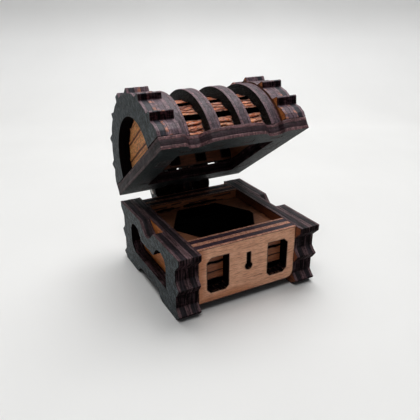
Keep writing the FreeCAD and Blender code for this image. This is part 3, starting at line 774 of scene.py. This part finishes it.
# painted shade: a near-black copy of the stain for the hinge plates in the shade under the lid
FACE_KNUCKLE_SHADED = stained_face("stained_knuckle_face_painted_shade", base=(13, 13, 14), pale=(34, 33, 33), deep=(6, 6, 7), spec=0.10, rubbed=0.2)
EDGE_FRAME = cut_edge("stained_cut_edge", (146, 118, 122), (84, 62, 68), (64, 58, 66), (32, 28, 34), dark=(13, 9, 10), dark2=(56, 39, 43),
                      spec=0.35, streak=0.55, lines=0.7, tone_swing=0.25)
EDGE_END_L = cut_edge("end_cut_edge_left", (146, 120, 128), (88, 66, 74), (60, 60, 72), (30, 30, 38), bare=(216, 142, 112), bare_side=1,
                      dark2=(70, 38, 42), fleck=(160, 126, 130), streak=0.6, lines=0.45, tone_swing=0.35)
EDGE_END_R = cut_edge("end_cut_edge_right", (146, 120, 128), (88, 66, 74), (60, 60, 72), (30, 30, 38), bare=(216, 142, 112), bare_side=0,
                      dark2=(66, 46, 54), fleck=(160, 126, 130), streak=0.6, lines=0.45, tone_swing=0.35)
EDGE_END_PANEL = cut_edge("end_panel_cut_edge", (146, 120, 128), (96, 74, 82), (126, 104, 114), (78, 60, 70), bare=(206, 134, 100), bare_side=0,
                          dark2=(68, 40, 46), fleck=(160, 124, 126), streak=0.6, lines=0.45, tone_swing=0.35)
EDGE_RIB = cut_edge("rib_cut_edge", (128, 102, 110), (94, 74, 82), (112, 93, 102), (68, 57, 64), fleck=(180, 118, 116), fuzz=1.2, streak=0.3, lines=0.35, tone_swing=0.45,
                    dark=(5, 4, 5), dark2=(15, 11, 12))
EDGE_LID = cut_edge("lid_cut_edge", (138, 102, 106), (88, 60, 64), (74, 52, 60), (38, 26, 31), fleck=(196, 144, 136), streak=0.35, lines=0.45, tone_swing=0.30)
# painted shade: a near-black copy of the cut edge for the hinge plates in the shade under the lid
EDGE_KNUCKLE_SHADED = cut_edge("knuckle_cut_edge_painted_shade", (96, 66, 56), (50, 34, 30), (24, 21, 25), (13, 11, 14), fleck=(128, 86, 66), spec=0.3,
                        dark=(4, 3, 3), dark2=(22, 15, 14))
EDGE_NAT = cut_edge("natural_cut_edge", (232, 166, 138), (176, 112, 92), (60, 42, 64), (26, 18, 32), fleck=(244, 190, 164),
                    dark=(7, 4, 4), dark2=(24, 13, 11), ply=(0.74, 2.26))
# painted shade on top of laser char: a dark copy of the natural cut edge for stave edges that face the gaps between
# staves
EDGE_SLAT_SHADED = cut_edge("slat_cut_edge", (110, 64, 40), (60, 32, 22), (34, 20, 18), (16, 10, 10), dark=(5, 3, 3), dark2=(22, 11, 8),
                     fleck=(150, 88, 56), spec=0.25)
# painted shade: the panel is tinted darker beside the left frame and along its lower edge
FACE_PANEL = natural_face("panel_face", (236, 180, 146), (214, 154, 120), (146, 94, 70), halo=0.34, fleck=0.36, tone_swing=0.15, relief=(0.6, 0.00013),
                          shade_tint=(0.74, 0.57, 0.44), streak=0.36)
FACE_SLAT = natural_face("slat_face", (255, 180, 126), (242, 122, 68), (108, 40, 21), char=(26, 9, 5), halo=0.38, rough=0.26, spec=1.0,
                         burn_col=(58, 20, 9), fleck=0.65, tint=(255, 172, 148), tone_swing=0.62, relief=(1.0, 0.00060), glint=(255, 204, 178))
FACE_END = natural_face("end_panel_face", (255, 190, 122), (242, 162, 96), (150, 84, 38), halo=0.30, burn_col=(76, 30, 8), fleck=0.6,
                        tint=(224, 150, 100), tone_swing=0.46, relief=(1.0, 0.00045))
FACE_END_IN = natural_face("end_panel_inner_face", (222, 138, 72), (194, 108, 48), (126, 64, 26), halo=0.30, fleck=0.6, tone_swing=0.26,
                           shade_disc=(LIDTOP, 18.45))
FACE_ORANGE = natural_face("oiled_outer_face", (226, 142, 74), (198, 112, 50), (130, 66, 28), halo=0.30, fleck=0.6, tone_swing=0.26)
FACE_INNER = natural_face("inner_face", (182, 130, 98), (156, 104, 74), (106, 66, 44), halo=0.35, fleck=0.5, burn_col=(30, 15, 8))
# painted shade: a dark copy of the bare wood for the inside of the lid and the underside of the bottom plate
FACE_LIDIN_SHADED = natural_face("lid_inside_face_painted_shade", (118, 66, 42), (90, 48, 28), (44, 22, 13), halo=0.5, fleck=0.6, burn_col=(12, 7, 5), spec=0.3)
# painted shade: this face is painted near black below the tray
FACE_ROOM = natural_face("lower_room_face", (204, 134, 94), (172, 106, 72), (98, 58, 38), halo=0.35, fleck=0.6, burn_col=(14, 8, 5), low=13.6)
# painted shade: a darker copy of the bare wood for the inner walls' inside faces, painted near black below the tray
FACE_SIDE_ROOM_SHADED = natural_face("side_room_face_painted_shade", (134, 74, 44), (108, 56, 32), (56, 29, 17), halo=0.35, fleck=0.6, burn_col=(14, 8, 5),
                              low=13.6, wide=12.0)
FACE_TRAY = natural_face("tray_face", (168, 112, 80), (142, 90, 62), (84, 50, 32), halo=0.35, fleck=0.55)
FACE_PLANK = natural_face("front_plank_face", (172, 102, 62), (140, 76, 42), (78, 38, 20), halo=0.35, fleck=0.6, burn_col=(8, 5, 4), low=6.9)
# painted shade: near black for the unlit faces inside the box, under the tray and on the bottom plate
FACE_WELL_SHADED = natural_face("well_face_painted_shade", (18, 13, 11), (12, 9, 8), (6, 5, 4), halo=0.3, fleck=0.5)


def steel():
    n = Net("pin_steel")
    tc = n.n("ShaderNodeTexCoord").outputs["Object"]
    lines = n.noise(n.scale(tc, (60.0, 2600.0, 2600.0)), 1.0, 3.0, 0.6)
    blot = n.noise(n.scale(tc, (420.0, 420.0, 420.0)), 1.0, 3.0, 0.6)
    n.link(n.ramp(n.math("ADD", n.math("MULTIPLY", lines, 0.5), n.math("MULTIPLY", blot, 0.5)),
                  [(0.35, rgb(112, 108, 104)), (0.5, rgb(158, 156, 152)), (0.65, rgb(186, 184, 180))]), n.bsdf.inputs["Base Color"])
    n.bsdf.inputs["Metallic"].default_value = 1.0
    n.link(n.math("ADD", n.math("MULTIPLY", lines, 0.25), 0.22), n.bsdf.inputs["Roughness"])
    n.bump(lines, 0.5, 0.00003)
    return n.mat


# ------------------------------------------------------------------ the sheets
STAINED = (FACE_STAIN, FACE_UNDER_SHADED, EDGE_LID)
pieces = {}


def make(node, slot_name, mats, seed, **kw):
    pieces[node] = build_sheet(node, slot_name, mats, seed, **kw)


# side frames: stained outside, bare inside.  w grows towards +X, so the left frame's outside is its back face
make("left_side_frame", "ply_stained", (FACE_INNER, FACE_STAIN, EDGE_FRAME), 1, grain="u", grain_angle=38, soot=(0.97, 0.42, 1.15, 0.88))
make("right_side_frame", "ply_stained", (FACE_STAIN, FACE_INNER, EDGE_FRAME), 2, grain="u", grain_angle=-38, soot=(0.97, 0.42, 1.15, 0.88))
make("left_inner_wall", "ply_natural", (FACE_SIDE_ROOM_SHADED, FACE_ORANGE, EDGE_FRAME), 3, grain="u", soot=(0.97, 0.42, 1.15, 1.15))
make("right_inner_wall", "ply_natural", (FACE_ORANGE, FACE_SIDE_ROOM_SHADED, EDGE_FRAME), 4, grain="u", soot=(0.97, 0.42, 1.15, 1.15))

# front and back
make("front_panel", "ply_panel", (FACE_PANEL, FACE_INNER, EDGE_NAT), 5, grain="u", pitch=0.45, soot=(0.95, 0.0, 1.15, 0.98))
plank = [Groove(wander(-14.2, 14.2, 9.0, 2.0, 0.12), 0.16, 0.15), Groove(wander(-14.2, 14.2, 6.9, 2.5, 0.12), 0.16, 0.15),
         Groove(wander(-14.2, 14.2, 11.6, 3.5, 0.12), 0.16, 0.15)]
dashes = [Groove(wander(a, a + d, z, 9.0 + a, 0.10), 0.14, 0.16) for a, d, z in
          ((-13.5, 4.5, 16.4), (-7.5, 3.0, 16.9), (-2.0, 6.0, 16.3), (6.5, 5.5, 16.8), (-11.5, 6.5, 15.5), (-3.5, 3.5, 15.6), (2.5, 7.0, 15.4))]
make("front_wall", "ply_natural", (FACE_PLANK, FACE_ROOM, EDGE_NAT), 6, grain="u", front=plank, back=dashes, soot=(0.95, 0.0, 1.15, 1.15))
make("back_wall", "ply_natural", (FACE_ROOM, FACE_INNER, EDGE_NAT), 7, grain="u", front=dashes, back=plank, soot=(0.95, 0.45, 1.15, 1.15))
make("back_panel", "ply_panel", (FACE_INNER, FACE_PANEL, EDGE_NAT), 8, grain="u", soot=(0.85, 0.45, 1.0, 0.9))
make("tray_plate", "ply_natural", (FACE_TRAY, FACE_WELL_SHADED, EDGE_NAT), 9, grain="u", soot=(1.0, 1.0, 1.15, 1.15))
make("bottom_plate", "ply_natural", (FACE_WELL_SHADED, FACE_LIDIN_SHADED, EDGE_NAT), 10, grain="u", pitch=0.8)

# hinge plates
for i, k in enumerate(("box_knuckle_left", "box_knuckle_middle", "box_knuckle_right",
                       "lid_knuckle_left", "lid_knuckle_middle", "lid_knuckle_right")):
    # painted shade: plates under the lid take the dark copies of stain and cut edge; only the left box plate's outer
    # face keeps the lit stain
    back_face = FACE_STAIN if k == "box_knuckle_left" else FACE_KNUCKLE_SHADED
    # laser char and painted shade of the plate cuts; the middle lid plate's are lighter
    burnt = (0.34, 0.30, 1.15, 1.15) if k == "lid_knuckle_middle" else (0.95, 0.80, 1.15, 1.15)
    make(k, "ply_stained", (FACE_KNUCKLE_SHADED, back_face, EDGE_KNUCKLE_SHADED), 11 + i, grain="v", soot=burnt)

# lid
make("lid_frame", "ply_stained", STAINED, 20, grain="u", soot=(0.75, 0.18, 0.9, 0.8))


def foot_gap(P, Q):
    """The straight bottom edge of an end sheet is cut a little short of the frame."""
    return np.where((np.abs(Q[:, 1] - LIDTOP) < 0.02) & (np.abs(Q[:, 0]) < 20.0), 0.17, 0.0)


def end_lines(seed):
    out = []
    for k, z in enumerate((4.0, 8.1, 12.0)):
        half = math.sqrt(max(1.0, 15.5 ** 2 - z * z))
        a = wander(-half, half, LIDTOP + z, seed + k, 0.13)
        out.append(Groove(a, 0.18, 0.25))
        # short splits that leave the line
        out.append(Groove(wander(-half * 0.2, half * 0.35, LIDTOP + z - 1.1, seed + k + 7, 0.10, slope=0.02), 0.09, 0.11, 0.6))
    return out


make("left_end_frame", "ply_stained", (FACE_INNER, FACE_STAIN, EDGE_END_L), 21, grain="v", grain_angle=8, shift=foot_gap,
     soot=(0.97, 0.12, 1.15, 1.15), hollow=(LIDTOP, 12.8))
make("right_end_frame", "ply_stained", (FACE_STAIN, FACE_INNER, EDGE_END_R), 22, grain="v", grain_angle=-8, shift=foot_gap,
     soot=(0.97, 0.12, 1.15, 1.15), hollow=(LIDTOP, 12.8))
make("left_end_panel", "ply_natural", (FACE_END_IN, FACE_END, EDGE_END_PANEL, FACE_UNDER_SHADED), 23, grain="u", front=end_lines(11), back=end_lines(4),
     shift=foot_gap, soot=(0.97, 0.12, 1.0, 1.0), flush=17.8)
make("right_end_panel", "ply_natural", (FACE_END, FACE_END_IN, EDGE_END_PANEL, FACE_UNDER_SHADED), 24, grain="u", front=end_lines(5), back=end_lines(12),
     shift=foot_gap, soot=(0.97, 0.12, 1.0, 1.0), flush=17.8)
for i in range(4):
    make("rib_%d" % (i + 1), "ply_stained", (FACE_RIB_SHADED, FACE_RIB_SHADED, EDGE_RIB, FACE_UNDER_SHADED), 25 + i, grain="u", grain_angle=20,
         soot=(1.0, 0.06, 1.0, 1.0), hollow=(LIDTOP, 16.2), flush=17.8)


def slat_shift(seed):
    def f(P, Q):
        """The long edges of a stave are hewn: they wander inwards."""
        on = (np.abs(np.abs(Q[:, 1]) - 2.26) < 0.02) & (np.abs(Q[:, 0]) < 14.2)
        side = np.sign(Q[:, 1])
        w = 0.17 + 0.15 * wave(Q[:, 0] * 0.33, seed + side * 2.1)
        ends = np.clip((14.2 - np.abs(Q[:, 0])) / 0.6, 0, 1)
        return np.where(on, w * ends, 0.0)
    return f


for i in range(8):
    s = 30 + i
    gr = []
    rr = random.Random(500 + i)
    for v in ((-0.75, 0.75) if i % 2 else (-1.15, 0.1, 1.2)):
        gr.append(Groove(wander(-14.3, 14.3, v + rr.uniform(-0.15, 0.15), s + v * 3, 0.38), rr.uniform(0.26, 0.36), rr.uniform(0.20, 0.27),
                         rr.uniform(0.60, 0.95)))
    for _ in range(9):
        u = rr.uniform(-13, 10)
        gr.append(Groove(wander(u, u + rr.uniform(1.6, 4.0), rr.uniform(-1.8, 1.8), s + u, 0.16, slope=rr.uniform(-0.12, 0.12)),
                         rr.uniform(0.10, 0.2), 0.12, rr.uniform(0.5, 0.9)))
    make("slat_%d" % (i + 1), "ply_natural", (FACE_SLAT, FACE_LIDIN_SHADED, EDGE_SLAT_SHADED), s, grain="u", front=gr, pitch=0.5, shift=slat_shift(s),
         relief=(0.10, 0.012), soot=(1.0, 1.0, 1.0, 1.0))


# ------------------------------------------------------------------ the pin: a cut rod with domed, filed ends
def make_pin():
    lo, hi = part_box("hinge_pin")
    r = (hi.z - lo.z) / 2
    cy, cz = (lo.y + hi.y) / 2, (lo.z + hi.z) / 2
    half = (hi.x - lo.x) / 2
    prof = [(-half, 0.0), (-half, r * 0.55), (-half + 0.10 * MM, r * 0.80), (-half + 0.28 * MM, r * 0.97), (-half + 0.45 * MM, r)]
    n = 24
    for k in range(1, n):
        x = -half + 0.45 * MM + (2 * half - 0.9 * MM) * k / n
        prof.append((x, r * (1 - 0.004 * (k % 2))))
    prof += [(-x, rr) for x, rr in reversed(prof[:5])]
    seg = 40
    verts, faces = [], []
    for x, rr in prof:
        if rr == 0.0:
            verts.append((x, cy, cz))
            continue
        for j in range(seg):
            a = 2 * math.pi * j / seg
            verts.append((x, cy + rr * math.cos(a), cz + rr * math.sin(a)))
    first = 1
    rings = len(prof) - 2
    for j in range(seg):
        faces.append((0, first + (j + 1) % seg, first + j))
    for k in range(rings - 1):
        a, b = first + k * seg, first + (k + 1) * seg
        for j in range(seg):
            faces.append((a + j, a + (j + 1) % seg, b + (j + 1) % seg, b + j))
    last = first + (rings - 1) * seg
    end = len(verts) - 1
    for j in range(seg):
        faces.append((end, last + j, last + (j + 1) % seg))
    me = bpy.data.meshes.new("hinge_pin_rod")
    me.from_pydata(verts, [], faces)
    me.materials.append(steel())
    me.polygons.foreach_set("use_smooth", np.ones(len(faces), bool))
    me.update()
    me.set_sharp_from_angle(angle=math.radians(40))
    ob = bpy.data.objects.new("hinge_pin_rod", me)
    scene.collection.objects.link(ob)
    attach(ob, "base")
    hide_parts("hinge_pin")


make_pin()


# ------------------------------------------------------------------ stage: a pale sweep, soft light, the camera
def make_stage():
    """A sheet of pale paper that lies flat under the chest and curls up behind it."""
    flat, rad = 0.165, 0.12
    prof = [(-0.9, 0.0), (flat, 0.0)]
    for k in range(1, 25):
        a = math.radians(90 * k / 24)
        prof.append((flat + rad * math.sin(a), rad * (1 - math.cos(a))))
    prof.append((flat + rad, 0.75))
    verts, faces = [], []
    az = math.radians(28.14)
    fwd, side = Vector((math.sin(az), math.cos(az), 0)), Vector((math.cos(az), -math.sin(az), 0))
    for d, z in prof:
        for s in (-0.9, 0.9):
            p = fwd * d + side * s
            verts.append((p.x, p.y, z))
    for k in range(len(prof) - 1):
        a = 2 * k
        faces.append((a, a + 1, a + 3, a + 2))
    me = bpy.data.meshes.new("sweep")
    me.from_pydata(verts, [], faces)
    me.polygons.foreach_set("use_smooth", np.ones(len(faces), bool))
    me.update()
    ob = bpy.data.objects.new("sweep", me)
    scene.collection.objects.link(ob)
    n = Net("sweep_paper")
    tc = n.n("ShaderNodeTexCoord").outputs["Object"]
    mott = n.noise(tc, 14.0, 3.0, 0.5)
    paper = n.ramp(mott, [(0.3, rgb(236, 236, 235)), (0.7, rgb(241, 241, 240))])
    _, _, height = split(n, tc)
    # painted shade on the paper: a little darker where it lies flat, much darker towards the top of the curl
    shade = n.ramp(n.math("MULTIPLY", height, 10.0), [(0.0, (0.955, 0.953, 0.947)), (0.17, (1.0, 1.0, 0.997)), (0.30, (1.0, 1.0, 1.0)),
                                                      (0.42, (0.97, 0.97, 0.97)), (0.65, (0.76, 0.76, 0.76))])
    n.link(n.mix(1.0, paper, shade, "MULTIPLY"), n.bsdf.inputs["Base Color"])
    n.link(n.ramp(n.noise(tc, 60.0, 3.0, 0.5), [(0.3, (0.52, 0.52, 0.52)), (0.7, (0.60, 0.60, 0.60))]), n.bsdf.inputs["Roughness"])
    n.bsdf.inputs["Specular IOR Level"].default_value = 0.3
    me.materials.append(n.mat)


def area_light(name, loc, target, size, power, color=(1, 1, 1), size_y=None):
    li = bpy.data.lights.new(name, "AREA")
    li.energy = power
    li.color = color
    li.size = size
    if size_y:
        li.shape = "RECTANGLE"
        li.size_y = size_y
    ob = bpy.data.objects.new(name, li)
    scene.collection.objects.link(ob)
    ob.location = loc
    ob.rotation_euler = (Vector(target) - Vector(loc)).to_track_quat("-Z", "Y").to_euler()
    return ob


make_stage()
area_light("top_soft", (0.10, 0.15, 0.49), (0.01, 0.01, 0.0), 0.38, 2.58, size_y=0.33)
area_light("front_fill", (-0.15, -0.17, 0.50), (0.0, -0.02, 0.01), 0.22, 0.73, size_y=0.17)
area_light("glint_soft", (0.27, 0.28, 0.47), (0.0, 0.0, 0.03), 0.09, 0.30)

world = bpy.data.worlds.new("studio")
world.use_nodes = True
world.node_tree.nodes["Background"].inputs[0].default_value = (0.94, 0.96, 1.0, 1)
world.node_tree.nodes["Background"].inputs[1].default_value = 0.08
scene.world = world

cam_data = bpy.data.cameras.new("camera")
cam_data.sensor_fit = "HORIZONTAL"
cam_data.sensor_width = 36.0
cam_data.lens = 41.67
cam_data.clip_start = 0.005
cam = bpy.data.objects.new("camera", cam_data)
scene.collection.objects.link(cam)
az, el, roll = math.radians(28.14), math.radians(23.78), math.radians(-0.16)
c = Vector((-math.sin(az) * math.cos(el), -math.cos(az) * math.cos(el), math.sin(el)))
quat = (-c).to_track_quat("-Z", "Y")
cam.rotation_mode = "QUATERNION"
cam.rotation_quaternion = quat @ Matrix.Rotation(roll, 3, "Z").to_quaternion()
cam.location = Vector((-59.21, -108.01, 72.55)) * MM
scene.camera = cam
scene.view_settings.view_transform = "Standard"
scene.view_settings.look = "None"

bpy.context.view_layer.update()
